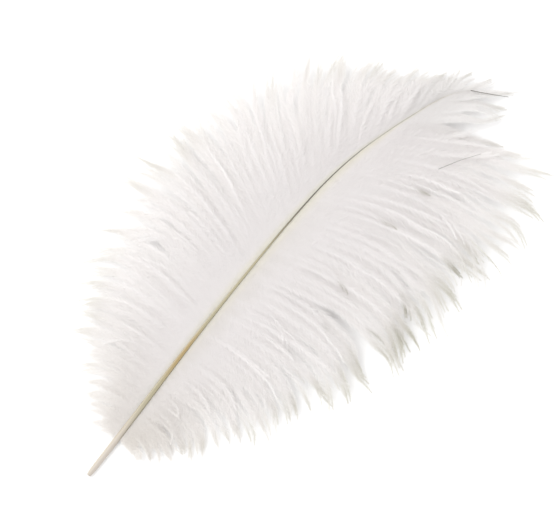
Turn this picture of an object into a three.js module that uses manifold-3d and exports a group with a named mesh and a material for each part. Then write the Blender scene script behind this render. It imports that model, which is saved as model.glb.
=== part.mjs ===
// A white ostrich plume lying with the outer side of its shaft up. The bare quill rests on the
// surface at one end. The shaft rises in a low arch, bends to its right and droops at the tip.
// From both of its sides grow loose locks of barbs, which lift a little, curve back towards the
// quill and come down on the surface with their pointed ends.
//
// Units are millimetres. The origin is on the flat under the quill, where it rests. +X runs
// along the quill towards the plume, +Y is the plume's left side and +Z is up.
import * as THREE from "three";
import { mergeVertices } from "three/addons/utils/BufferGeometryUtils.js";
import Module from "manifold-3d";

const wasm = await Module();
wasm.setup();

// ---- Driving dimensions ----

// The shaft's centreline, from the cut end of the quill to the last of the shaft.
const SHAFT_COURSE = [
  [-8, 0, 1.15],
  [12, 0, 1.2],
  [42, 0.3, 4],
  [82, 0.7, 8.6],
  [122, 0.3, 12],
  [160, -0.9, 13.8],
  [186, -2.9, 13.6],
  [207, -6.6, 12.2],
  [224, -11.4, 10.2],
  [238, -16.1, 8.2],
  [250, -20.6, 6.2],
  [259, -25, 4.8],
  [267, -32, 3.6],
];
// Half of the shaft's width, at shares of its length from the quill's end.
const SHAFT_HALF_WIDTH = [
  [0, 1.05],
  [0.015, 1.4],
  [0.07, 1.6],
  [0.12, 1.45],
  [0.22, 1.2],
  [0.35, 0.85],
  [0.55, 0.6],
  [0.75, 0.42],
  [1, 0.25],
];
const SHAFT_SIDES = 12;
const SHAFT_STEPS = 44;

const LOCKS_ON_A_SIDE = 31;
const FIRST_LOCK = 0.1; // as a share of the shaft's length
const LAST_LOCK = 0.992;
const LOCK_STEPS = 7;
const LOCK_SIDES = 4;
const LOCK_CROWN = 1.2; // a lock's rise from its edges to its middle line
const LOCK_BELLY = 0.55; // and its fall from its edges to the middle of its underside
const LOCK_OVERLAP = 1.15; // a lock's width at its root to the room that it has there
const LOCK_NARROWS = 0.58; // where a lock starts to narrow, as a share of its length
const LOCK_POINT = 0.11; // a lock's width at its very tip to its width before it narrows
const LOCK_TILT = 0.55; // how far one edge of a lock stands over the other, as on shingles
const LOCK_REACH_SPREAD = 0.055; // how far locks differ in length, as a share of it
const LOCK_SWING_SPREAD = 3; // and in the angle of their tips, in degrees
const LOCK_LIFT = 1.2; // how far a lock's tip stands up, between none and twice this
const ARCH = 5.5; // how far the longest barbs lift over the straight line from root to tip
const TIP_HEIGHT = 0.9; // the middle of a lock's tip over the surface, before it stands up

// How long the barbs are where they grow: [share of the shaft, length].
const RIGHT_LENGTH = [
  [0.085, 17],
  [0.12, 27],
  [0.2, 45],
  [0.3, 71],
  [0.4, 86],
  [0.5, 96],
  [0.6, 103],
  [0.7, 109],
  [0.76, 106],
  [0.8, 97],
  [0.84, 70],
  [0.88, 46],
  [0.92, 36],
  [0.96, 30],
  [1, 20],
];
const LEFT_LENGTH = [
  [0.085, 17],
  [0.12, 27],
  [0.2, 47],
  [0.3, 68],
  [0.4, 79],
  [0.5, 82],
  [0.6, 78],
  [0.68, 68],
  [0.76, 53],
  [0.84, 36],
  [0.92, 24],
  [1, 18],
];
// The angle between barb and shaft where the barb leaves it, and at the barb's tip.
const RIGHT_ROOT_ANGLE = [
  [0.08, 88],
  [0.3, 74],
  [0.5, 62],
  [0.7, 50],
  [0.8, 37],
  [0.87, 30],
  [0.95, 18],
  [1, 6],
];
const RIGHT_TIP_ANGLE = [
  [0.08, 120],
  [0.3, 114],
  [0.5, 108],
  [0.7, 88],
  [0.8, 60],
  [0.87, 42],
  [0.95, 26],
  [1, 12],
];
const LEFT_ROOT_ANGLE = [
  [0.08, 88],
  [0.3, 74],
  [0.5, 62],
  [0.65, 48],
  [0.8, 36],
  [0.93, 20],
  [1, 6],
];
const LEFT_TIP_ANGLE = [
  [0.08, 120],
  [0.3, 112],
  [0.42, 101],
  [0.52, 82],
  [0.62, 57],
  [0.72, 34],
  [0.85, 20],
  [1, 8],
];

const COLOURS = { feather: 0xefebe6 };

const STRIDES = 12; // the straight pieces that a barb's curve is added up from

// ---- Helpers ----

// Reads a list of [place, value] pairs, straight between them.
function valueAt(pairs, place) {
  const next = pairs.findIndex(([at]) => at >= place);
  if (next === 0) return pairs[0][1];
  if (next < 0) return pairs[pairs.length - 1][1];
  const [a, from] = pairs[next - 1];
  const [b, to] = pairs[next];
  return THREE.MathUtils.lerp(from, to, (place - a) / (b - a));
}

// An uneven number from -1 to 1, always the same for the same lock and use.
function uneven(lock, use) {
  const noise = Math.sin(lock * 12.9898 + use * 78.233) * 43758.5453;
  return 2 * (noise - Math.floor(noise)) - 1;
}

// Bends a closed unit cylinder: corner(along, across, up) says where each corner goes.
function bentCylinder(sides, steps, corner) {
  const geometry = new THREE.CylinderGeometry(1, 1, 1, sides, steps);
  geometry.deleteAttribute("normal");
  geometry.deleteAttribute("uv");
  const corners = geometry.getAttribute("position");
  for (let i = 0; i < corners.count; i++) {
    const place = corner(corners.getY(i) + 0.5, corners.getX(i), corners.getZ(i));
    corners.setXYZ(i, place.x, place.y, place.z);
  }
  return geometry;
}

function solidOf(geometry) {
  const merged = mergeVertices(geometry, 1e-4);
  return new wasm.Manifold(
    new wasm.Mesh({
      numProp: 3,
      vertProperties: merged.getAttribute("position").array,
      triVerts: new Uint32Array(merged.index.array),
    }),
  );
}

function geometryOf(solid) {
  const mesh = solid.getMesh();
  return new THREE.BufferGeometry()
    .setAttribute("position", new THREE.BufferAttribute(mesh.vertProperties, 3))
    .setIndex(new THREE.BufferAttribute(mesh.triVerts, 1));
}

// ---- The shaft ----

const shaftCurve = new THREE.CatmullRomCurve3(
  SHAFT_COURSE.map((point) => new THREE.Vector3(...point)),
  false,
  "centripetal",
);

// The shaft's own directions at a share of its length: ahead, to its right and up.
function shaftFrame(share) {
  const ahead = shaftCurve.getTangentAt(share);
  const right = new THREE.Vector3(ahead.y, -ahead.x, 0).normalize();
  const up = new THREE.Vector3().crossVectors(right, ahead);
  return { centre: shaftCurve.getPointAt(share), ahead, right, up };
}

function shaft() {
  return solidOf(
    bentCylinder(SHAFT_SIDES, SHAFT_STEPS, (along, across, up) => {
      const frame = shaftFrame(along);
      const half = valueAt(SHAFT_HALF_WIDTH, along);
      return frame.centre
        .clone()
        .addScaledVector(frame.right, across * half)
        .addScaledVector(frame.up, up * half);
    }),
  );
}

// ---- The vanes ----

const LONGEST = Math.max(...RIGHT_LENGTH.map(([, length]) => length));

// Where a barb that grows at a share of the shaft is, at a share of its own way out.
// side is 1 on the left and -1 on the right.
function barbPoint(side, share, out, { reach, swing, lift }) {
  const [length, rootAngle, tipAngle] = (
    side > 0
      ? [LEFT_LENGTH, LEFT_ROOT_ANGLE, LEFT_TIP_ANGLE]
      : [RIGHT_LENGTH, RIGHT_ROOT_ANGLE, RIGHT_TIP_ANGLE]
  ).map((pairs) => valueAt(pairs, share));
  const root = shaftCurve.getPointAt(share);
  const ahead = shaftCurve.getTangentAt(share);
  const heading = Math.atan2(ahead.y, ahead.x);
  const point = root.clone();
  const stride = (length * reach * out) / STRIDES;
  for (let i = 0; i < STRIDES; i++) {
    const passed = ((i + 0.5) / STRIDES) * out;
    const turn = THREE.MathUtils.lerp(rootAngle, tipAngle + swing, passed);
    const direction = heading + side * THREE.MathUtils.degToRad(turn);
    point.x += Math.cos(direction) * stride;
    point.y += Math.sin(direction) * stride;
  }
  const arch = ARCH * ((length * reach) / LONGEST) * Math.sin(Math.PI * out);
  point.z = THREE.MathUtils.lerp(root.z, TIP_HEIGHT, out ** 1.6) + arch + lift * out;
  return point;
}

// How much of its room a lock fills across, from its root to its rounded, pointed end.
function lockFullness(out) {
  const narrowing = Math.max(out - LOCK_NARROWS, 0) / (1 - LOCK_NARROWS);
  return LOCK_OVERLAP * Math.sqrt(1 - (1 - LOCK_POINT ** 2) * narrowing ** 2);
}

// A lock is thin where it leaves the shaft, so that the shaft shows between the vanes.
function lockThickness(out) {
  return Math.min(0.3 + 4 * out, 1, lockFullness(out) + 0.15);
}

function lock(side, index) {
  const spacing = (LAST_LOCK - FIRST_LOCK) / (LOCKS_ON_A_SIDE - 1);
  const share = FIRST_LOCK + spacing * index;
  const nature = {
    reach: 1 + LOCK_REACH_SPREAD * uneven(index, 1 + side),
    swing: LOCK_SWING_SPREAD * uneven(index, 4 + side),
    lift: LOCK_LIFT * (1 + uneven(index, 7 + side)),
  };
  return solidOf(
    bentCylinder(LOCK_SIDES, LOCK_STEPS, (along, across, up) => {
      const offset = side * across * lockFullness(along) * (spacing / 2);
      const grown = THREE.MathUtils.clamp(share + offset, 0, 1);
      const point = barbPoint(side, grown, along, nature);
      point.z += up * (up > 0 ? LOCK_CROWN : LOCK_BELLY) * lockThickness(along);
      point.z += across * LOCK_TILT * lockThickness(along);
      return point;
    }),
  );
}

// ---- The feather ----

// Everything below the surface that the feather lies on.
function ground() {
  const block = new THREE.BoxGeometry(800, 800, 20).translate(0, 0, -10);
  block.deleteAttribute("normal");
  block.deleteAttribute("uv");
  return solidOf(block);
}

function feather() {
  let whole = shaft();
  for (const side of [1, -1]) {
    for (let index = 0; index < LOCKS_ON_A_SIDE; index++) whole = whole.add(lock(side, index));
  }
  return whole.subtract(ground());
}

const mesh = new THREE.Mesh(
  geometryOf(feather()),
  new THREE.MeshStandardMaterial({ color: COLOURS.feather, roughness: 0.85, metalness: 0 }),
);
mesh.name = "ostrich_feather";

const group = new THREE.Group();
group.add(mesh);

export default group;
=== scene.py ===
"""A white ostrich plume that lies on a pale surface.

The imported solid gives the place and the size. It is replaced by the plume's shaft and by its
barbs, which are joined meshes: every barb is a thin stem with a fringe of barbules along both
of its edges. Neighbouring barbs gather in tufts. Some tufts lie over the others and end sooner,
and all of them follow the locks of the solid. At the shaft's end they part in single strands.
"""
import math

import bpy
import numpy as np
from mathutils import Matrix, Vector


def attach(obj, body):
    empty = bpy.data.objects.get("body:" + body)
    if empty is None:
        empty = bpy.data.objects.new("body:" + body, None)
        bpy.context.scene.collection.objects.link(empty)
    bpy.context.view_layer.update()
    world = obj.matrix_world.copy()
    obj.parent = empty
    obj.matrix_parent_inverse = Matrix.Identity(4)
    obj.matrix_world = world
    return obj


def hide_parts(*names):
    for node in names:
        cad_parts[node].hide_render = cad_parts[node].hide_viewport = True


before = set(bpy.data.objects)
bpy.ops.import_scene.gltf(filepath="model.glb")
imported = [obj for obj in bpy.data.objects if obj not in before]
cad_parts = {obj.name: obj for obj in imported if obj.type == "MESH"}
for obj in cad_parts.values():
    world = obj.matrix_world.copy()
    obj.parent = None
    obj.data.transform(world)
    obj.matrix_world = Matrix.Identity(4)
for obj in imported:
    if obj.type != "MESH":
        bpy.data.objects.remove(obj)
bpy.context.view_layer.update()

NODE = "ostrich_feather"
MM = 0.001

# ---- Sizes, in millimetres ----

SHAFT_COURSE = np.array([
    (-8, 0, 1.75),
    (12, 0, 1.8),
    (42, 0.3, 4.2),
    (82, 0.7, 8.6),
    (122, 0.3, 12),
    (160, -0.9, 13.8),
    (186, -2.9, 13.6),
    (207, -6.6, 12.2),
    (224, -11.4, 10.2),
    (238, -16.1, 8.2),
    (250, -20.6, 6.2),
    (259, -25, 4.8),
    (267, -32, 3.6),
], float)
# Everything that changes along the shaft: [share of the shaft's length, the value there].
SHAFT_HALF_WIDTH = [(0, 1.0), (0.006, 1.3), (0.02, 1.5), (0.07, 1.62), (0.12, 1.45), (0.22, 1.2),
                    (0.35, 0.88), (0.55, 0.46), (0.66, 0.27), (0.78, 0.17), (1, 0.08)]
SHAFT_SIDES = 20
SHAFT_STEPS = 260
CUT_RIM = 0.45  # the cut end's rim is rounded in to this share of the width behind it
QUILL_HOLLOW = 1.2  # how deep the cut end is hollow
GROOVE_DEPTH = 0.3  # along the shaft's top, against its half width
GROOVE_WIDTH = 0.35
LENGTH = {
    -1: [(0.085, 17), (0.12, 27), (0.2, 45), (0.3, 71), (0.4, 86), (0.5, 96), (0.6, 103),
         (0.7, 109), (0.76, 106), (0.8, 97), (0.83, 64), (0.85, 42), (0.87, 53), (0.89, 49),
         (0.93, 40), (0.96, 34), (1, 27)],
    1: [(0.085, 17), (0.12, 27), (0.2, 47), (0.3, 68), (0.4, 79), (0.5, 82), (0.6, 78), (0.68, 68),
        (0.76, 53), (0.84, 36), (0.92, 24), (1, 18)],
}
ROOT_ANGLE = {
    -1: [(0.08, 88), (0.3, 74), (0.5, 62), (0.7, 50), (0.8, 37), (0.87, 30), (0.95, 18), (1, 6)],
    1: [(0.08, 88), (0.3, 74), (0.5, 62), (0.65, 48), (0.8, 36), (0.93, 20), (1, 6)],
}
TIP_ANGLE = {
    -1: [(0.08, 120), (0.3, 114), (0.5, 108), (0.7, 88), (0.8, 60), (0.85, 50), (0.87, 32),
         (0.9, 34), (0.93, 36), (0.95, 29), (1, 16)],
    1: [(0.08, 120), (0.3, 112), (0.42, 101), (0.52, 82), (0.62, 57), (0.72, 34), (0.85, 20),
        (1, 8)],
}
# How closely the barbs grow, against the rest: more where they fan out.
CLOSENESS = {
    -1: [(0.1, 1), (0.84, 1.1), (0.87, 0.6), (1, 0.6)],
    1: [(0.1, 1), (0.36, 1.1), (0.5, 1.7), (0.64, 1.3), (0.8, 1), (1, 0.8)],
}
# How far the barbs' outer ends have gone yellow and grey: partly soiling, partly painted shade that
# darkens the vane's edge.
SOILED_AND_SHADED = {
    -1: [(0.1, 0.45), (0.3, 1.1), (0.5, 1.15), (0.75, 1.1), (0.85, 0.5), (1, 0.3)],
    1: [(0.1, 0.5), (0.3, 0.6), (0.6, 0.45), (0.75, 0.6), (1, 0.8)],
}
# A few of the tufts that lie over the others have darker ends: partly matting, partly painted
# shade.
MATTED_AND_SHADED_SHARE = 0.16
MATTED_AND_SHADED = {
    -1: [(0.3, 0), (0.45, 0.7), (0.7, 1), (0.82, 0.8), (0.88, 0)],
    1: [(0, 0)],
}
# How much warmer the barbs' white is all along them, at the quill's down; and painted shade, warmer
# and darker, on the right vane beside the shaft.
DOWNY = {
    -1: [(0.1, 0.8), (0.16, 0.45), (0.24, 0.12), (0.32, 0)],
    1: [(0.1, 0.5), (0.16, 0.4), (0.24, 0.1), (0.3, 0)],
}
SHADE_BESIDE_SHAFT = {
    -1: [(0.1, 0.55), (0.22, 0.55), (0.3, 0.45), (0.5, 0.35), (0.62, 0.15), (0.72, 0)],
    1: [(0, 0)],
}
# How far the barbs' outer ends curl beyond that, in degrees: back to the quill, or ahead.
CURL = {
    -1: [(0.08, 12), (0.3, 12), (0.6, 6), (0.75, 2), (0.9, 4), (1, 0)],
    1: [(0.08, 10), (0.4, 12), (0.52, 0), (0.62, -14), (0.85, -12), (1, -4)],
}
CURL_FROM = 0.45  # as a share of the barb's way out

# The solid's locks, which the tufts follow.
LOCKS_ON_A_SIDE = 31
FIRST_LOCK = 0.1  # where it grows, as a share of the shaft's length
LAST_LOCK = 0.992
LOCK_REACH_SPREAD = 0.055  # how far locks differ in length, as a share of it
LOCK_SWING_SPREAD = 3  # and in where their tips point, in degrees
LOCK_LIFT = 1.2  # how far a lock's tip stands up, between none and twice this
LOCK_NARROWS = 0.2  # by this share, from its middle to its tip
LOCK_CROWN = 0.4  # its middle's height over its edges
ARCH = 5.5  # how far the longest barbs lift over the straight line from root to tip
TIP_HEIGHT = 0.9  # of a barb over the surface, before it stands up
CREST = 17.4  # what would stand up above this height stands up less
FLATTENED = 0.6  # by this share of the rest
TOP = 18.5  # no barbule reaches higher
LOWEST_STEM = 0.35
LOWEST_BARBULE = 0.1

BARBS_ON_A_SIDE = 400
# How unevenly the tufts lie.
RUFFLED = {
    -1: [(0.1, 0.45), (0.25, 1)],
    1: [(0, 0.6)],
}
OVER_SHARE = 0.5  # of the tufts, those that lie over the others
OVER = {
    "barbs": (2, 4),  # the fewest and the most in a tuft
    "shorter": (-0.04, 0.55),  # than the lengths above, as a share of them
    "raised": 0.5,
    "raised_if_short": 1.5,
    "aside": 3.5,  # how far their tips point aside, in degrees
    "aside_if_short": 6,
    "with_lock": 1,  # how far they follow their lock aside
    "ripple": 0.5,
    "hook": 0.2,
    "tip_width": (0.2, 0.45),  # against the root's width
    "middle_width": 1,
    # painted shade: the tufts under the others are coloured duller and yellower than those over
    # them
    "tone": 0.75,
}
UNDER = {
    "barbs": (2, 5),
    "shorter": (-0.06, 0.04),
    "raised": -0.3,
    "raised_if_short": 0,
    "aside": 1.5,
    "aside_if_short": 0,
    "with_lock": 0.4,
    "ripple": 0.25,
    "hook": 0.1,
    "tip_width": (0.3, 0.7),
    "middle_width": 1.4,
    "tone": 0.2,
}
OVER_GATHERS_FROM = 0.5  # where a tuft starts to narrow, as a share of its way out
UNDER_GATHERS_FROM = (0.7, 0.85)
WAVE = 6.2  # millimetres along the barb to a radian of its wave
RIPPLE = 3.4
STRAY_WAVE = 4.5

STRANDS_FROM = {-1: 0.86, 1: 0.93}  # as a share of the shaft's length
STRAND_BARBS = 6
STRAND_FRINGE = 0.5  # how long its barbules are, against the rest
STRAY_SHARE = 0.03  # of the barbs, those that stray from the rest
STRAY_REACH = (0.9, 1.04)  # against the lengths above
STRAY_ASIDE = 9  # how far their tips point aside, in degrees
STRAY_RAISED = 1.5  # at the most
STRAY_FRINGE = 0.5

SPACING_AT_ROOT = 0.55  # between the barbules on one edge of a barb
SPACING_OUTSIDE = 0.26
FEWEST_BARBULES = 12
BARBULE_LENGTH = 4.8
BARBULE_WIDTH = 0.2
BARBULE_ANGLE = 48  # to the stem, in degrees, and less towards the tip
BARB_WIDTH = 0.2
VANE_PARTS = ("lower", "middle", "upper")  # of about the same length of barbs
LET_THROUGH = 0.45  # the share of the light that a thin barbule lets through
# In the texture map each barb has a strip: half of its stem's width there, and how far out
# the middles and the tips of its barbules are.
STEM_STRIP = 0.04
BARBULE_STRIP = (0.22, 0.22, 0.42)

# The last barb, bare and dark, goes on from the shaft's end.
END_BARB = np.array([(267, -32), (271.7, -41), (276.5, -49.2)])
END_BARB_HALF_WIDTH = 0.2
# Where a bare barb that was shed lies across the right vane.
SHED_BARB = np.array([(224.7, -43.5), (230, -46.5), (235.2, -49.5), (244.4, -55.9)])
SHED_BARB_HALF_WIDTH = 0.12
THIN_SHAFT = 0.7  # the share of the shaft that they are coloured like

rng = np.random.default_rng(34)


def at(pairs, place):
    """Reads a list of (place, value) pairs, straight between them."""
    return np.interp(place, [pair[0] for pair in pairs], [pair[1] for pair in pairs])


def uneven(lock, use):
    """An uneven number from -1 to 1, always the same for the same lock and use."""
    noise = np.sin(lock * 12.9898 + use * 78.233) * 43758.5453
    return 2 * (noise - np.floor(noise)) - 1


def smooth(low, high, value):
    share = np.clip((value - low) / (high - low), 0, 1)
    return share * share * (3 - 2 * share)


# ---- The shaft's centreline ----

def catmull_rom(points, steps=40):
    """A centripetal Catmull-Rom curve through the points."""
    padded = np.vstack([2 * points[0] - points[1], points, 2 * points[-1] - points[-2]])
    course = []
    for before, start, end, after in zip(padded, padded[1:], padded[2:], padded[3:]):
        gap = [math.sqrt(np.linalg.norm(b - a))
               for a, b in ((before, start), (start, end), (end, after))]
        leaving = ((start - before) / gap[0] - (end - before) / (gap[0] + gap[1])) * gap[1]
        leaving += end - start
        arriving = ((after - end) / gap[2] - (after - start) / (gap[1] + gap[2])) * gap[1]
        arriving += end - start
        t = np.linspace(0, 1, steps, endpoint=False)[:, None]
        bend = -3 * start + 3 * end - 2 * leaving - arriving
        twist = 2 * start - 2 * end + leaving + arriving
        course.append(start + leaving * t + bend * t**2 + twist * t**3)
    return np.vstack(course + [points[-1:]])


course = catmull_rom(SHAFT_COURSE)
course_way = np.r_[0, np.cumsum(np.linalg.norm(np.diff(course, axis=0), axis=1))]
SHAFT_LENGTH = course_way[-1]
course_ahead = np.gradient(course, axis=0)
course_ahead /= np.linalg.norm(course_ahead, axis=1, keepdims=True)


def shaft_at(share):
    """The shaft's centre and its direction at shares of its length."""
    way = np.asarray(share) * SHAFT_LENGTH
    centre = np.stack([np.interp(way, course_way, course[:, k]) for k in range(3)], -1)
    ahead = np.stack([np.interp(way, course_way, course_ahead[:, k]) for k in range(3)], -1)
    return centre, ahead


# ---- Shader maths ----

class Socket:
    """A node's output, on which Python's operators add Math nodes."""

    def __init__(self, tree, link):
        self.tree, self.link = tree, link

    def node(self, kind, settings=None, output=0, **inputs):
        """Adds a node of a type, with its settings and its sockets' values or links."""
        made = self.tree.nodes.new(kind)
        for name, value in (settings or {}).items():
            setattr(made, name, value)
        for name, value in inputs.items():
            key = int(name[1:]) if name[0] == "_" else name.replace("_", " ")
            if isinstance(value, Socket):
                self.tree.links.new(value.link, made.inputs[key])
            else:
                made.inputs[key].default_value = value
        return Socket(self.tree, made.outputs[output])

    def maths(self, operation, *values):
        inputs = {f"_{k}": value for k, value in enumerate(values)}
        return self.node("ShaderNodeMath", {"operation": operation}, **inputs)

    def __rsub__(self, other): return self.maths("SUBTRACT", other, self)
    def __mul__(self, other): return self.maths("MULTIPLY", self, other)

    def attribute(self, name):
        """A value that the mesh carries at each of its points."""
        return self.node("ShaderNodeAttribute", {"attribute_name": name}, output=2)

    def step(self, low, high):
        """Rises smoothly from 0 at low to 1 at high."""
        inputs = {"Value": self, "From_Min": low, "From_Max": high}
        return self.node("ShaderNodeMapRange", {"interpolation_type": "SMOOTHSTEP"}, **inputs)

    def mix(self, first, second):
        """The first colour where this value is 0 and the second where it is 1."""
        return self.node("ShaderNodeMix", {"data_type": "RGBA"}, output=2,
                         _0=self, _6=first, _7=second)


def new_material(name, roughness, **constants):
    """A material, its Principled shader and a Socket from which to add nodes."""
    material = bpy.data.materials.new(name)
    material.use_nodes = True
    shader = material.node_tree.nodes["Principled BSDF"]
    shader.inputs["Roughness"].default_value = roughness
    for key, value in constants.items():
        shader.inputs[key.replace("_", " ")].default_value = value
    return material, shader, Socket(material.node_tree, None)


def feed(material, shader, name, socket):
    material.node_tree.links.new(socket.link, shader.inputs[name])


# ---- Finishes ----

def barb_finish():
    """White keratin fluff, warmer at its roots and the quill, with soiling at its ends and matting
    at a few.

    Painted shade darkens the tufts under the others, the right vane beside the shaft and the
    barbs' ends, along with the soiling and matting.
    """
    material, shader, start = new_material("white_barbs", 0.85)
    out, tone, along = (start.attribute(name) for name in ("way_out", "tone", "along"))
    soiled_and_shaded, matted_and_shaded, down_and_shade = (start.attribute(name) for name in ("soiled_and_shaded", "matted_and_shaded", "down_and_shade"))
    shaded_white = (0.942, 0.923, 0.912, 1)
    lit_white = (0.96, 0.943, 0.94, 1)
    inner_white = (0.9, 0.877, 0.8745, 1)
    yellowed_and_shaded = (0.5, 0.486, 0.384, 1)
    dark_mat_and_shade = (0.2, 0.19, 0.1, 1)
    cream_and_shade = (0.718, 0.684, 0.63, 1)
    plume_end_grey = (0.755, 0.755, 0.738, 1)
    ivory = (0.864, 0.832, 0.72, 1)
    glow = (0.945, 0.928, 0.92, 1)
    # Painted shade: tufts under the others duller and yellower, those over them lighter, as if lit;
    # also uneven at random.
    colour = tone.mix(shaded_white, lit_white)
    colour = (1 - out.step(0.1, 0.6)).mix(colour, inner_white)
    # Painted shade darkens the barbs' outer ends, along with their soiling.
    colour = (out.step(0.65, 1.02) * soiled_and_shaded).mix(colour, yellowed_and_shaded)
    # Painted shade, along with matting, at the ends of a few tufts over the others.
    colour = matted_and_shaded.mix(colour, dark_mat_and_shade)
    # The quill's down is warmer; painted shade, warmer and darker, beside the shaft on the right
    # vane.
    colour = down_and_shade.mix(colour, cream_and_shade)
    colour = (along.step(0.78, 0.95) * 0.5).mix(colour, plume_end_grey)
    colour = (1 - out.step(0.0, 0.06)).mix(colour, ivory)
    feed(material, shader, "Base Color", colour)
    through = start.node("ShaderNodeBsdfTranslucent", Color=glow)
    front = Socket(material.node_tree, shader.outputs["BSDF"])
    thin = start.node("ShaderNodeMixShader", _0=LET_THROUGH, _1=front, _2=through)
    surface = material.node_tree.nodes["Material Output"].inputs["Surface"]
    material.node_tree.links.new(thin.link, surface)
    return material


def shaft_finish():
    """Horn: milky at the quill, straw along the shaft, grey where it is thin."""
    material, shader, start = new_material("horn_shaft", 0.42)
    along, across = start.attribute("along"), start.attribute("across")
    milky = (0.53, 0.475, 0.415, 1)
    straw = (0.38, 0.34, 0.225, 1)
    honey = (0.38, 0.26, 0.095, 1)
    grey = (0.12, 0.11, 0.09, 1)
    pale_grey = (0.36, 0.34, 0.31, 1)
    lit_edge = (0.7, 0.64, 0.5, 1)
    shaded_edge = (0.2, 0.17, 0.1, 1)
    horn = along.step(0.06, 0.2).mix(milky, straw)
    horn = (along.step(0.2, 0.27) * (1 - along.step(0.29, 0.36)) * 0.8).mix(horn, honey)
    horn = along.step(0.48, 0.66).mix(horn, grey)
    horn = along.step(0.7, 0.85).mix(horn, pale_grey)
    light_edge = (1 - across.step(-0.9, 0.1)) * (1 - along.step(0.4, 0.6)) * 0.35
    horn = light_edge.mix(horn, lit_edge)
    dark_edge = across.step(0.4, 0.95) * along.step(0.04, 0.12) * 0.6
    feed(material, shader, "Base Color", dark_edge.mix(horn, shaded_edge))
    return material


# ---- Meshes from arrays ----

def mesh_piece(name, points, faces, material, values, uv=None):
    """One joined mesh. faces is a list of arrays of equal-sided faces, values its attributes."""
    mesh = bpy.data.meshes.new(name)
    sides = [rows.shape[1] for rows in faces]
    loops = np.concatenate([rows.ravel() for rows in faces]).astype(np.int32)
    totals = np.concatenate([np.full(len(rows), n, np.int32) for rows, n in zip(faces, sides)])
    starts = np.r_[0, np.cumsum(totals)[:-1]].astype(np.int32)
    mesh.vertices.add(len(points))
    mesh.vertices.foreach_set("co", (points * MM).astype(np.float32).ravel())
    mesh.loops.add(len(loops))
    mesh.loops.foreach_set("vertex_index", loops)
    mesh.polygons.add(len(totals))
    mesh.polygons.foreach_set("loop_start", starts)
    mesh.polygons.foreach_set("loop_total", totals)
    for key, numbers in values.items():
        layer = mesh.attributes.new(key, "FLOAT", "POINT")
        layer.data.foreach_set("value", numbers.astype(np.float32))
    if uv is not None:
        layer = mesh.uv_layers.new(name="OFBake")
        layer.data.foreach_set("uv", uv[loops].astype(np.float32).ravel())
    mesh.update(calc_edges=True)
    mesh.shade_smooth()
    mesh.materials.append(material)
    piece = bpy.data.objects.new(name, mesh)
    bpy.context.scene.collection.objects.link(piece)
    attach(piece, "root")
    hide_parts(NODE)
    return piece


# ---- The shaft ----

def tube_faces(rings, sides):
    """The wall of a tube and its two caps, around two points that follow the rings'."""
    ring = np.arange(sides)
    turned = (ring + 1) % sides
    rows = np.arange(rings - 1)[:, None] * sides
    first, second = (rows + ring).ravel(), (rows + turned).ravel()
    wall = np.stack([first, second, second + sides, first + sides], 1)
    start, end = np.full(sides, rings * sides), np.full(sides, rings * sides + 1)
    last = (rings - 1) * sides
    caps = [np.stack([turned, ring, start], 1), np.stack([last + ring, last + turned, end], 1)]
    return [wall, np.vstack(caps)]


def build_shaft(material):
    """A closed tube: round at the quill, four-cornered with soft edges where the vanes grow."""
    sides = SHAFT_SIDES
    share = np.r_[0, np.linspace(0, 1, SHAFT_STEPS) ** 1.05]
    centre, ahead = shaft_at(share)
    right = np.stack([ahead[:, 1], -ahead[:, 0], np.zeros(len(share))], -1)
    right /= np.linalg.norm(right, axis=1, keepdims=True)
    up = np.cross(right, ahead)
    half = at(SHAFT_HALF_WIDTH, share)
    half[0] = CUT_RIM * half[1]
    angle = np.arange(sides) / sides * 2 * math.pi
    square = smooth(0.09, 0.2, share)[:, None]
    power = 2 + 1.2 * square
    across = np.sign(np.cos(angle)) * np.abs(np.cos(angle)) ** (2 / power)
    rise = np.sign(np.sin(angle)) * np.abs(np.sin(angle)) ** (2 / power)
    groove = -GROOVE_DEPTH * square * np.exp(-((across / GROOVE_WIDTH) ** 2)) * (rise > 0)
    rise = rise + groove
    points = (centre[:, None] + right[:, None] * (across * half[:, None])[..., None]
              + up[:, None] * (rise * half[:, None])[..., None])
    hollow = centre[0] + ahead[0] * QUILL_HOLLOW
    points = np.vstack([points.reshape(-1, 3), hollow, centre[-1] + ahead[-1] * 0.3])
    values = {
        "along": np.r_[np.repeat(share, sides), 0, 1],
        "across": np.r_[across.ravel(), 0, 0],
    }
    piece = mesh_piece("plume_shaft", points, tube_faces(len(share), sides), material, values)


# ---- The barbs ----

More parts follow.
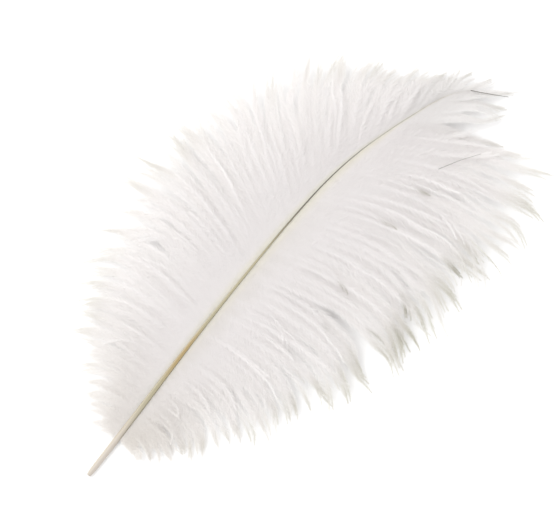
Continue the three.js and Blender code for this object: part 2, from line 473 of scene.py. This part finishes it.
class Barbs:
    """The barbs of one side: where each grows and how it differs from its neighbours.

    What a tuft has in common is drawn once for the tuft and handed to its barbs by [tuft].
    """

    def __init__(self, side):
        self.side = side
        count = BARBS_ON_A_SIDE
        spacing = (LAST_LOCK - FIRST_LOCK) / (LOCKS_ON_A_SIDE - 1)
        low, high = FIRST_LOCK - spacing * 0.5, min(1, LAST_LOCK + spacing * 0.3)
        shares = np.linspace(low, high, 200)
        grown = np.cumsum(at(CLOSENESS[side], shares))
        even = (np.arange(count) + 0.5 + rng.uniform(-0.3, 0.3, count)) / count
        self.share = np.interp(even, (grown - grown[0]) / (grown[-1] - grown[0]), shares)
        lock = np.clip(np.round((self.share - FIRST_LOCK) / spacing), 0, LOCKS_ON_A_SIDE - 1)
        self.lock_share = FIRST_LOCK + spacing * lock
        self.place = np.clip((self.share - self.lock_share) / (spacing / 2), -1, 1)

        tuft, strand = self.group(np.arange(count) * OVER_SHARE % 1 < OVER_SHARE)
        tufts = tuft[-1] + 1
        over = np.arange(tufts) * OVER_SHARE % 1 < OVER_SHARE

        def own(key):
            return np.where(over, OVER[key], UNDER[key])

        sizes = np.bincount(tuft)
        centre = np.bincount(tuft, self.share) / sizes
        ruffled = at(RUFFLED[side], centre)
        self.tuft_share = centre[tuft]
        half_tuft = sizes[tuft] * (high - low) / count / 2
        self.tilt = (self.share - self.tuft_share) / half_tuft
        shorter = np.where(over, rng.uniform(*OVER["shorter"], tufts),
                           rng.uniform(*UNDER["shorter"], tufts))

        # In the plane of the vane.
        self.reach = 1 + LOCK_REACH_SPREAD * uneven(lock, 1 + side)
        aside = np.where(over, rng.normal(0, OVER["aside"], tufts),
                         rng.normal(0, UNDER["aside"], tufts)) + own("aside_if_short") * shorter
        self.swing = own("with_lock")[tuft] * LOCK_SWING_SPREAD * uneven(lock, 4 + side)
        self.swing += (ruffled * aside)[tuft]
        pointed = 0.12 * np.abs(self.tilt) + rng.uniform(0, 0.08, count)
        pointed *= np.where(strand, 0.5, 1)[tuft]
        self.short = (1 - shorter[tuft]) * (1 - pointed)
        self.wave = rng.normal(0, 0.9, tufts)[tuft] + 0.5 * uneven(lock, 10 + side)
        self.wave_start = rng.uniform(0, 2 * math.pi, tufts)[tuft]
        self.ripple = (own("ripple") * rng.normal(0, 1, tufts))[tuft]
        self.hook = (own("hook") * rng.normal(0, 1, tufts))[tuft]
        self.stray = rng.normal(0, 0.5, count)
        self.stray_start = rng.uniform(0, 2 * math.pi, count)

        # Up and down.
        self.lift = LOCK_LIFT * (1 + uneven(lock, 7 + side))
        raised = own("raised") + own("raised_if_short") * np.maximum(shorter, 0)
        self.height = (ruffled * (rng.normal(0, 0.35, tufts) + raised))[tuft]
        self.height += rng.normal(0, 0.08, count)
        self.tip_lift = rng.normal(0, 0.6, tufts)[tuft]

        # How the barbs of a tuft keep together.
        under_width = rng.uniform(*UNDER["tip_width"], tufts) / ruffled
        over_width = rng.uniform(*OVER["tip_width"], tufts)
        self.tip_width = np.where(over, over_width, under_width)[tuft]
        self.middle_width = own("middle_width")[tuft]
        under_from = rng.uniform(*UNDER_GATHERS_FROM, tufts)
        self.gathers_from = np.where(over, OVER_GATHERS_FROM, under_from)[tuft]
        self.twist = rng.normal(0, 0.08, count)
        self.fringe = np.ones(count)

        # At the shaft's end the barbs gather in a few thin, wavy strands that stand apart.
        self.strand = strand[tuft].astype(float)
        self.tip_width *= 1 - 0.9 * self.strand
        self.gathers_from -= 0.55 * self.strand
        self.swing += self.strand * rng.normal(0, 1.5, tufts)[tuft]
        self.wave *= 1 + self.strand

        # A few single barbs stray from the rest and stick out, bare of long barbules.
        stray = rng.uniform(0, 1, count) < STRAY_SHARE
        self.fringe[stray] *= STRAY_FRINGE
        self.short[stray] = rng.uniform(*STRAY_REACH, count)[stray]
        self.swing[stray] += rng.normal(0, STRAY_ASIDE, count)[stray]
        self.height[stray] += rng.uniform(0, STRAY_RAISED, count)[stray]

        # Painted shade: tufts under the others get a duller, yellower colour; it also differs at
        # random.
        self.tone = own("tone")[tuft] + rng.uniform(-0.2, 0.25, count)
        # Painted shade darkens the outer ends, along with their soiling.
        self.soiled_and_shaded = at(SOILED_AND_SHADED[side], self.share) * rng.uniform(0.4, 1.3, tufts)[tuft]
        self.soiled_and_shaded += 0.15 * self.strand
        # Painted shade, along with matting, darkens the ends of a few tufts over the others.
        matted_and_shaded = over & (uneven(np.arange(tufts), 13 + side) > 1 - 2 * MATTED_AND_SHADED_SHARE)
        self.matted_and_shaded = (matted_and_shaded * at(MATTED_AND_SHADED[side], centre))[tuft]
        self.matted_and_shaded *= smooth(0.3, 0.5, self.short)

    def group(self, over):
        """Each barb's tuft, and of each tuft whether it is a strand at the shaft's end."""
        count = len(over)
        fewest, most = OVER["barbs"]
        over_sizes = rng.integers(fewest, most + 1, count)
        fewest, most = UNDER["barbs"]
        under_sizes = rng.integers(fewest, most + 1, count)
        ends = np.cumsum(np.where(over, over_sizes, under_sizes))
        tuft = np.searchsorted(ends, np.arange(count), side="right")
        first = np.searchsorted(self.share, STRANDS_FROM[self.side])
        tuft[first:] = tuft[first - 1] + 1 + np.arange(count - first) // STRAND_BARBS
        return tuft, np.arange(tuft[-1] + 1) > tuft[first - 1]

    def length(self, b):
        return at(LENGTH[self.side], self.share[b]) * self.reach[b] * self.short[b]

    def point(self, b, out):
        """Where barbs b are at shares of their own way out."""
        side = self.side
        passed = out * self.short[b]
        width = 1 + (self.middle_width[b] - 1) * smooth(0.1, 0.5, out)
        narrowing = smooth(self.gathers_from[b], 1, out)
        width -= (self.middle_width[b] - self.tip_width[b]) * narrowing
        share = self.tuft_share[b] + (self.share[b] - self.tuft_share[b]) * width
        lock_width = 1 - LOCK_NARROWS * smooth(0.35, 1, passed)
        share = np.clip(self.lock_share[b] + (share - self.lock_share[b]) * lock_width, 0, 1)

        # An arc from the root's direction to the tip's.
        root, ahead = shaft_at(share)
        heading = np.arctan2(ahead[:, 1], ahead[:, 0])
        length = at(LENGTH[side], share) * self.reach[b]
        start = heading + side * np.radians(at(ROOT_ANGLE[side], share))
        swing = self.swing[b] + 1.5 * self.stray[b]
        end = heading + side * np.radians(at(TIP_ANGLE[side], share) + swing)
        bend = end - start
        bend = np.where(np.abs(bend) < 1e-4, 1e-4, bend)
        turned = start + bend * passed
        x = root[:, 0] + length * (np.sin(turned) - np.sin(start)) / bend
        y = root[:, 1] - length * (np.cos(turned) - np.cos(start)) / bend

        # Waves and a curl, to the side of the arc.
        loose = smooth(0.15, 1, passed) * np.minimum(length / 60, 1)
        way = passed * length
        curled = np.clip((passed - CURL_FROM) / (1 - CURL_FROM), 0, None)
        curl = np.radians(at(CURL[side], share) + 6 * self.stray[b]) * side
        off = length * curl * (curled**3 - curled**4 / 2) * (1 - CURL_FROM)
        off += loose * self.wave[b] * np.sin(way / WAVE + self.wave_start[b])
        off += loose * self.ripple[b] * np.sin(way / RIPPLE + 2 * self.wave_start[b])
        off += loose * 0.5 * self.stray[b] * np.sin(way / STRAY_WAVE + self.stray_start[b])
        hook = side * (0.008 * at(CURL[side], share) + self.hook[b])
        off += 0.4 * way * hook * np.clip((out - 0.5) / 0.5, 0, 1) ** 2
        x = x - np.sin(turned) * off
        y = y + np.cos(turned) * off

        # From the shaft's height over an arch down to the surface.
        arch = ARCH * length / max(pair[1] for pair in LENGTH[-1]) * np.sin(np.pi * passed)
        z = root[:, 2] + (TIP_HEIGHT - root[:, 2]) * passed**1.6 + arch + self.lift[b] * passed
        crown = LOCK_CROWN * (0.5 - self.place[b] ** 2)
        tilted = (0.2 * self.place[b] + 0.25 * self.tilt[b]) * side
        z = z + smooth(0.1, 0.7, passed) * (crown + tilted)
        z = z + smooth(0.05, 0.6, passed) * self.height[b] + smooth(0.6, 1, out) * self.tip_lift[b]
        z = z - FLATTENED * np.maximum(z - CREST, 0)
        return np.stack([x, y, np.maximum(z, LOWEST_STEM)], -1)


def stem_course(barbs, b, out, length):
    """Where barbs b are at shares of their way, and their directions: ahead, aside and up."""
    small = 0.004
    centre = barbs.point(b, out)
    ahead = barbs.point(b, np.minimum(out + small, 1)) - barbs.point(b, np.maximum(out - small, 0))
    ahead /= np.linalg.norm(ahead, axis=1, keepdims=True)
    level = np.cross(ahead, [0, 0, 1])
    level /= np.linalg.norm(level, axis=1, keepdims=True)
    above = np.cross(level, ahead)
    twist = barbs.twist[b] + 0.15 * np.sin(out * length / 9 + barbs.stray_start[b])
    twist *= smooth(0, 0.5, out)
    cos, sin = np.cos(twist)[:, None], np.sin(twist)[:, None]
    return centre, ahead, level * cos + above * sin, above * cos - level * sin


def barbule_length(barbs, b, out, length):
    """Shorter at a barb's root and towards its tip, and where the barb itself is short."""
    shape = (0.35 + 0.65 * smooth(0, 0.12, out)) * (1 - 0.35 * smooth(0.6, 1, out))
    size = BARBULE_LENGTH * (0.25 + 0.75 * shape) * np.minimum(1, 0.55 + length / 120)
    size *= barbs.fringe[b] * (1 - (0.7 - 0.4 * barbs.strand[b]) * smooth(0.86, 1, out))
    size *= 1 - (1 - STRAND_FRINGE) * barbs.strand[b] * smooth(0.1, 0.45, out)
    # None reaches over the shaft.
    angle = np.radians(at(ROOT_ANGLE[barbs.side], barbs.share[b]))
    return np.minimum(size, 0.5 + 0.9 * out * length * np.sin(angle))


def barb_down_and_shade(barbs, b, out):
    """The down at the quill is warmer all over; on the right vane, painted shade makes other barbs
    warmer and darker beside the shaft.
    """
    beside = 1 - smooth(0.03, 0.2, out)
    share = barbs.share[b]
    beside = beside * at(SHADE_BESIDE_SHAFT[barbs.side], share)
    return np.maximum(at(DOWNY[barbs.side], share), beside)


def build_barbs(barbs, chosen, name, material):
    """The chosen barbs, each a stem whose edges carry a fringe of barbules."""
    lengths = barbs.length(chosen)
    counts = np.round(lengths * 2 / (SPACING_AT_ROOT + SPACING_OUTSIDE)).astype(int)
    counts = np.maximum(counts, FEWEST_BARBULES)
    b = np.repeat(chosen, counts + 1)
    row = np.repeat(np.arange(len(chosen)), counts + 1)
    firsts = np.r_[0, np.cumsum(counts + 1)[:-1]]
    step = np.arange(len(b)) - np.repeat(firsts, counts + 1)
    even = step / np.repeat(counts, counts + 1)
    closer = (SPACING_AT_ROOT - SPACING_OUTSIDE) / (SPACING_AT_ROOT + SPACING_OUTSIDE)
    out = even + closer * even * (1 - even)
    length = np.repeat(lengths, counts + 1)

    # The stem: a ribbon, whose edges are the first two blocks of points.
    centre, ahead, flat, normal = stem_course(barbs, b, out, length)
    half = flat * (BARB_WIDTH / 2 * (1 - 0.75 * out))[:, None]
    total = len(b)
    points = [centre - half, centre + half]
    k = np.flatnonzero(step < np.repeat(counts, counts + 1))
    quads = [np.stack([k, k + total, k + total + 1, k + 1], 1)]
    triangles = []
    # The stem's place that each point belongs to, and the point's place across the barb's strip.
    of = [np.arange(total)] * 2
    strip = [np.full(total, -STEM_STRIP), np.full(total, STEM_STRIP)]

    # The barbules: from each step of an edge a leaf of one quad and one triangle.
    size = barbule_length(barbs, b, out, length)[k]
    count = len(k)
    for sign, edge in ((-1, 0), (1, 1)):
        long = size * rng.uniform(0.7, 1.15, count)
        angle = np.radians(rng.normal(BARBULE_ANGLE, 7, count) - 22 * smooth(0.35, 0.9, out[k]))
        droop = rng.normal(0, 0.08 + 0.1 * smooth(0.2, 0.7, out[k]))
        outward = (ahead[k] * np.cos(angle)[:, None] + sign * flat[k] * np.sin(angle)[:, None]
                   + normal[k] * droop[:, None])
        base = (points[edge][k] + points[edge][k + 1]) / 2
        middle = base + outward * (0.5 * long)[:, None]
        tip = base + (outward * 0.92 + ahead[k] * 0.22) * long[:, None]
        tip[:, 2] -= 0.035 * long**1.5
        half = ahead[k] * (BARBULE_WIDTH / 2 * (0.7 + 0.3 * smooth(0.1, 0.5, out[k])))[:, None]
        near, far, end = (total * 2 + np.arange(count) + (edge * 3 + i) * count for i in range(3))
        root_near, root_far = k + edge * total, k + 1 + edge * total
        if sign > 0:
            quads.append(np.stack([root_near, near, far, root_far], 1))
            triangles.append(np.stack([near, end, far], 1))
        else:
            quads.append(np.stack([root_far, far, near, root_near], 1))
            triangles.append(np.stack([far, end, near], 1))
        for part in (middle - half, middle + half, tip):
            part[:, 2] = np.clip(part[:, 2], LOWEST_BARBULE, TOP)
            points.append(part)
        of += [k] * 3
        strip += [np.full(count, sign * reach) for reach in BARBULE_STRIP]

    of, strip, points = np.concatenate(of), np.concatenate(strip), np.vstack(points)
    values = {"way_out": (out * barbs.short[b])[of], "tone": barbs.tone[b][of],
              "soiled_and_shaded": barbs.soiled_and_shaded[b][of], "along": barbs.share[b][of],
              "matted_and_shaded": (barbs.matted_and_shaded[b] * smooth(0.8, 1, out))[of],
              "down_and_shade": barb_down_and_shade(barbs, b, out)[of]}
    uv = np.stack([out[of], (row[of] + 0.5 + strip) / len(chosen)], 1)
    piece = mesh_piece(name, points, [np.vstack(quads), np.vstack(triangles)], material, values, uv)
    return points


def build_thread(name, points, half_width, material):
    """A bare barb through the points, which thins towards its end."""
    sides = 5
    centre = catmull_rom(points, 8)
    ahead = np.gradient(centre, axis=0)
    ahead /= np.linalg.norm(ahead, axis=1, keepdims=True)
    right = np.cross(ahead, [0, 0, 1])
    right /= np.linalg.norm(right, axis=1, keepdims=True)
    up = np.cross(right, ahead)
    rings = len(centre)
    half = half_width * np.linspace(1, 0.6, rings)[:, None, None]
    angle = (np.arange(sides) / sides * 2 * math.pi)[:, None]
    wall = centre[:, None] + half * (right[:, None] * np.cos(angle) + up[:, None] * np.sin(angle))
    points = np.vstack([wall.reshape(-1, 3), centre[:1], centre[-1:]])
    values = {"along": np.full(len(points), THIN_SHAFT), "across": np.zeros(len(points))}
    piece = mesh_piece(name, points, tube_faces(rings, sides), material, values)


def laid_on(vane, places):
    """The places, lifted onto the highest barbules around them."""
    near = 2.5
    tops = [vane[np.hypot(*(vane[:, :2] - place).T) < near, 2].max() for place in places]
    return np.column_stack([places, tops])


def build_vanes(material):
    """Both vanes. Returns all their points."""
    points = []
    for side, word in ((1, "left"), (-1, "right")):
        barbs = Barbs(side)
        total = np.cumsum(barbs.length(np.arange(BARBS_ON_A_SIDE)))
        part = np.minimum(total / total[-1] * len(VANE_PARTS), len(VANE_PARTS) - 1e-6).astype(int)
        for k, place in enumerate(VANE_PARTS):
            chosen = np.flatnonzero(part == k)
            points.append(build_barbs(barbs, chosen, f"{word}_vane_{place}", material))
    return np.vstack(points)


# ---- Floor, light and camera ----

IMAGE = (554, 518)  # the frame's size in pixels
MM_PER_PIXEL = 0.51
QUILL_END_PIXEL = np.array([88.0, 476.0])
QUILL_DIRECTION = np.array([0.6178, -0.7863])  # +X's parts to the frame's right and down
QUILL_END_X = -8.0
CAMERA_HEIGHT = 1500.0  # over the plume's middle height
MIDDLE_HEIGHT = 6
SENSOR = 36.0
VIEW_ENDS = 20  # metres from the camera
FLOOR_REACH = 12.0  # metres from its middle to its edges
KEY_LIGHT = {"energy": 18, "size": 1.2, "aside": (-1.0, 0.65), "height": 1.8}
WORLD_STRENGTH = 1.015


def place_of_pixel(pixel):
    """The point of the surface, in millimetres, that a pixel shows."""
    way = (np.asarray(pixel, float) - QUILL_END_PIXEL) * MM_PER_PIXEL
    left = np.array([QUILL_DIRECTION[1], -QUILL_DIRECTION[0]])
    return np.array([way @ QUILL_DIRECTION + QUILL_END_X, way @ left])


def build_stage():
    floor = bpy.data.meshes.new("floor")
    size = FLOOR_REACH
    floor.from_pydata([(-size, -size, 0), (size, -size, 0), (size, size, 0), (-size, size, 0)],
                      [], [(0, 1, 2, 3)])
    material, _, _ = new_material("pale_floor", 0.9, Base_Color=(0.98, 0.98, 0.98, 1))
    material.node_tree.nodes["Principled BSDF"].inputs["Specular IOR Level"].default_value = 0.1
    floor.materials.append(material)
    stage = bpy.data.objects.new("floor", floor)
    bpy.context.scene.collection.objects.link(stage)


def view_axes():
    """The camera's right and up, in the plume's own directions."""
    q = QUILL_DIRECTION
    return Vector((q[0], q[1], 0)), Vector((-q[1], q[0], 0))


def build_camera():
    data = bpy.data.cameras.new("camera")
    data.sensor_width = SENSOR
    wide = IMAGE[0] * MM_PER_PIXEL
    data.lens = SENSOR * CAMERA_HEIGHT / wide
    data.clip_end = VIEW_ENDS
    camera = bpy.data.objects.new("camera", data)
    right, up = view_axes()
    middle = place_of_pixel((IMAGE[0] / 2, IMAGE[1] / 2))
    turn = Matrix((right, up, Vector((0, 0, 1)))).transposed().to_4x4()
    place = Vector((middle[0] * MM, middle[1] * MM, (CAMERA_HEIGHT + MIDDLE_HEIGHT) * MM))
    camera.matrix_world = Matrix.Translation(place) @ turn
    bpy.context.scene.collection.objects.link(camera)
    bpy.context.scene.camera = camera
    return middle


def build_light(name, energy, size, aside, height, target):
    """A soft square light, aside from its target to the camera's right and up, in metres."""
    data = bpy.data.lights.new(name, "AREA")
    data.energy = energy
    data.shape = "SQUARE"
    data.size = size
    right, up = view_axes()
    aim = Vector((target[0] * MM, target[1] * MM, 0))
    place = aim + right * aside[0] + up * aside[1] + Vector((0, 0, height))
    light = bpy.data.objects.new(name, data)
    light.matrix_world = (Matrix.Translation(place)
                          @ (aim - place).to_track_quat("-Z", "Y").to_matrix().to_4x4())
    bpy.context.scene.collection.objects.link(light)


def build_world(strength):
    world = bpy.data.worlds.new("studio")
    world.use_nodes = True
    background = world.node_tree.nodes["Background"]
    background.inputs["Color"].default_value = (1, 1, 1, 1)
    background.inputs["Strength"].default_value = strength
    bpy.context.scene.world = world


horn = shaft_finish()
build_shaft(horn)
vanes = build_vanes(barb_finish())
build_thread("end_barb", laid_on(vanes, END_BARB), END_BARB_HALF_WIDTH, horn)
build_thread("shed_barb", laid_on(vanes, SHED_BARB), SHED_BARB_HALF_WIDTH, horn)
build_stage()
middle = build_camera()
build_light("key_light", target=middle, **KEY_LIGHT)
build_world(WORLD_STRENGTH)
bpy.context.scene.view_settings.view_transform = "Standard"
